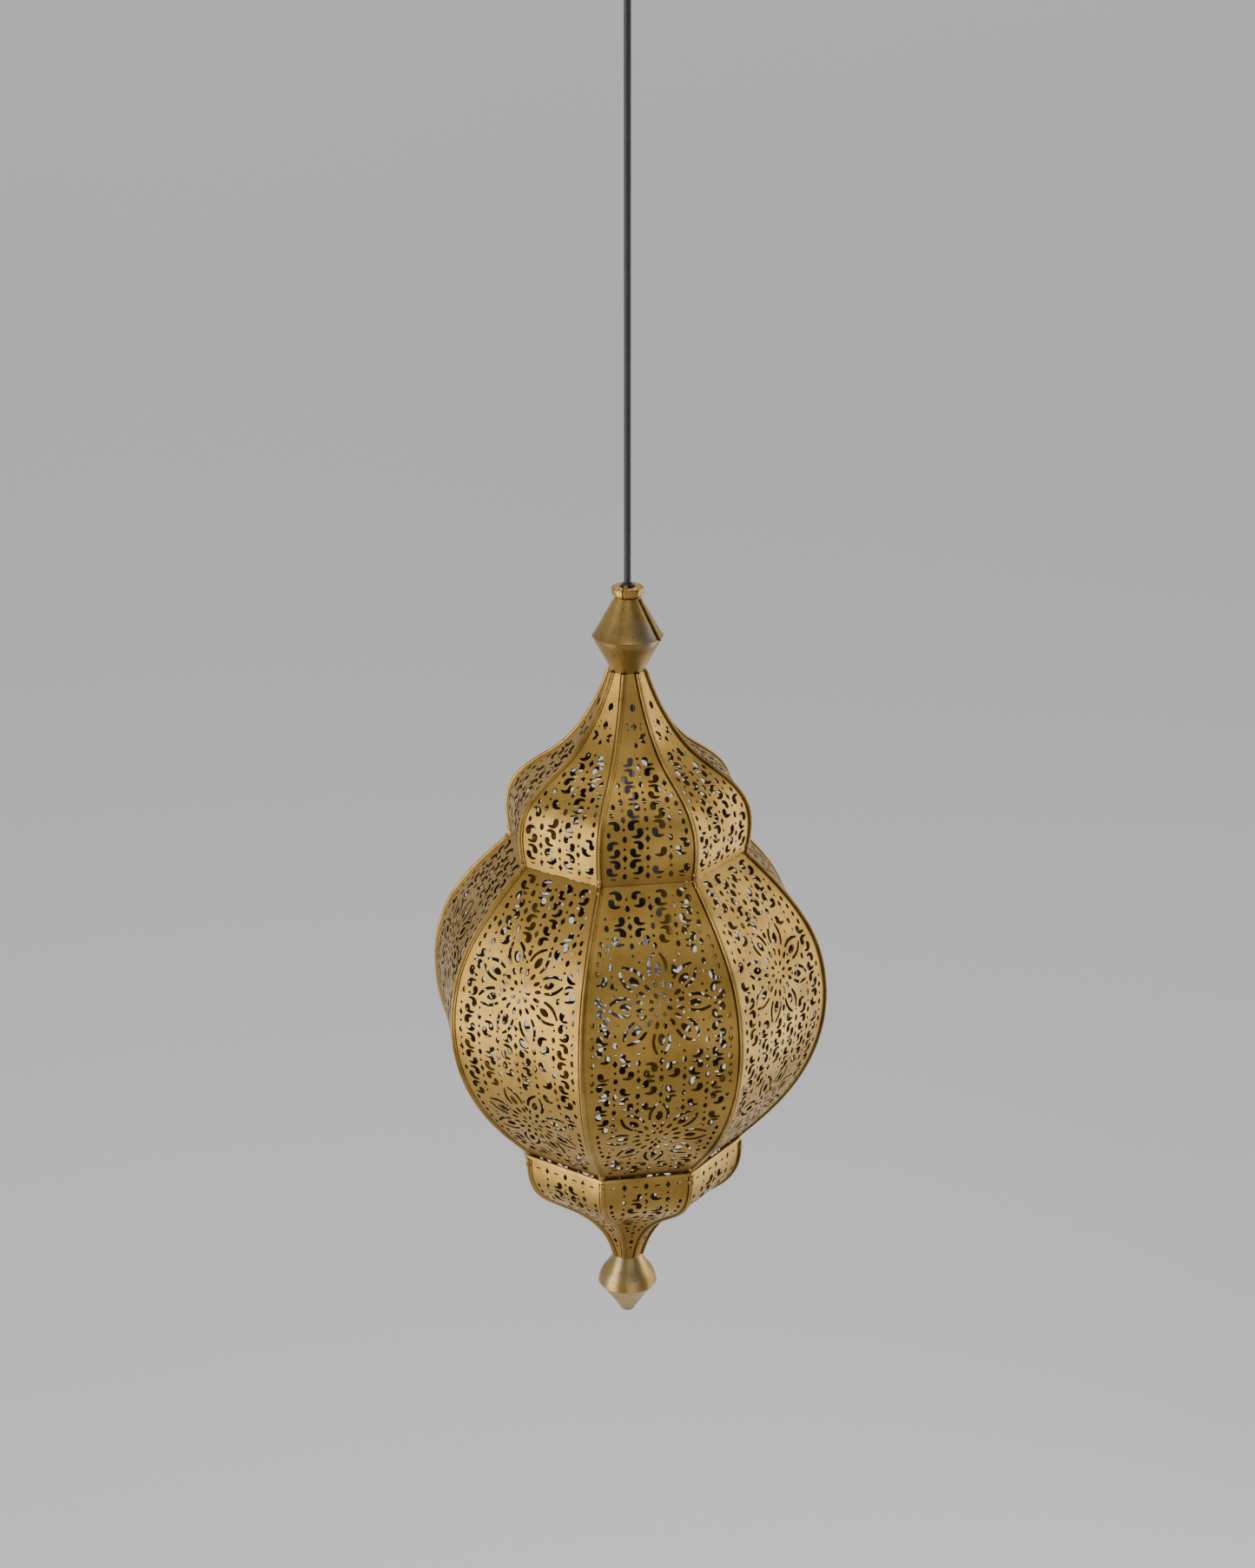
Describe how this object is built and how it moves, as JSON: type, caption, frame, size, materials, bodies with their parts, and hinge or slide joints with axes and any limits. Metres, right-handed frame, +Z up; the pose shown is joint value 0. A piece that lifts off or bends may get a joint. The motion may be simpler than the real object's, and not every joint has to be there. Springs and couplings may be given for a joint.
{
  "type": "hanging lantern",
  "caption": "Pierced onion-shaped pendant lantern of curved sheets between ribs, with a bulb inside, a hinged door, a cord and a ceiling canopy.",
  "frame": {"origin": "centre of the face that meets the ceiling", "axes": "+Z up out of the ceiling face; the front panel of the body faces -Y; the lantern hangs down -Z"},
  "size_m": [0.2606, 0.2648, 0.984],
  "materials": {
    "antique_gold": "satin, aged",
    "dark_gold": "dull, aged",
    "bright_brass": "plain",
    "plated_steel": "zinc plated",
    "black_plastic": "matt",
    "pale_plastic": "satin",
    "black_rubber": "matt",
    "cord_sheath": "satin",
    "bulb_metal": "plain",
    "clear_glass": "clear"
  },
  "bodies": {
    "canopy": {"ceiling_bracket": "plated_steel", "canopy_cup": "antique_gold", "canopy_screws": "plated_steel", "terminal_block": "pale_plastic", "cord_grip": "black_plastic", "cord_tail": "cord_sheath"},
    "strain_relief": {"strain_relief": "black_rubber"},
    "cord": {"pendant_cord": "cord_sheath"},
    "lantern": {"cord_grommet": "black_rubber", "top_collar": "dark_gold", "top_finial_upper": "dark_gold", "top_finial_seam": "dark_gold", "top_finial_lower": "dark_gold", "hanger_tube": "plated_steel", "tube_nuts": "plated_steel", "neck_plate": "plated_steel", "lamp_holder_cap": "black_plastic", "lamp_holder_body": "black_plastic", "lamp_holder_ring": "black_plastic", "lamp_holder_shell": "bright_brass", "lamp_holder_contact": "bright_brass", "inner_cord": "cord_sheath", "crown_ribs": "antique_gold", "body_ribs": "antique_gold", "base_ribs": "antique_gold", "base_hoop": "antique_gold", "bottom_finial_upper": "dark_gold", "bottom_finial_lower": "dark_gold", "hinge_fixed_leaves": "antique_gold", "hinge_pins": "antique_gold", "latch_rivet": "antique_gold", "crown_panel_1": "antique_gold", "crown_panel_2": "antique_gold", "crown_panel_3": "antique_gold", "crown_panel_4": "antique_gold", "crown_panel_5": "antique_gold", "crown_panel_6": "antique_gold", "crown_panel_7": "antique_gold", "crown_panel_8": "antique_gold", "base_panel_1": "antique_gold", "base_panel_2": "antique_gold", "base_panel_3": "antique_gold", "base_panel_4": "antique_gold", "base_panel_5": "antique_gold", "base_panel_6": "antique_gold", "base_panel_7": "antique_gold", "base_panel_8": "antique_gold", "body_panel_1": "antique_gold", "body_panel_2": "antique_gold", "body_panel_3": "antique_gold", "body_panel_4": "antique_gold", "body_panel_5": "antique_gold", "body_panel_6": "antique_gold", "body_panel_7": "antique_gold"},
    "door": {"body_door": "antique_gold", "hinge_door_leaves": "antique_gold", "latch_keeper": "antique_gold"},
    "latch": {"latch_button": "antique_gold"},
    "bulb": {"bulb_cap": "bulb_metal", "bulb_glass": "clear_glass"}
  },
  "joints": [
    {"name": "swing_front_back", "type": "hinge", "parent": "canopy", "child": "strain_relief", "pos_m": [0, 0, -0.038], "axis": [1, 0, 0], "range_deg": [-20, 20]},
    {"name": "swing_side", "type": "hinge", "parent": "strain_relief", "child": "cord", "pos_m": [0, 0, -0.054], "axis": [0, 1, 0], "range_deg": [-20, 20]},
    {"name": "lantern_turn", "type": "hinge", "parent": "cord", "child": "lantern", "pos_m": [0, 0, -0.434], "axis": [0, 0, 1], "range_deg": [-180, 180]},
    {"name": "door_swing", "type": "hinge", "parent": "lantern", "child": "door", "pos_m": [0.05488, 0.13248, -0.716], "axis": [0, 0, -1], "range_deg": [0, 100]},
    {"name": "latch_turn", "type": "hinge", "parent": "lantern", "child": "latch", "pos_m": [-0.05425, 0.13097, -0.716], "axis": [-0.3827, 0.9239, 0], "range_deg": [0, 90]},
    {"name": "bulb_unscrew", "type": "slide", "parent": "lantern", "child": "bulb", "axis": [0, 0, -1], "range_m": [0, 0.035]}
  ]
}
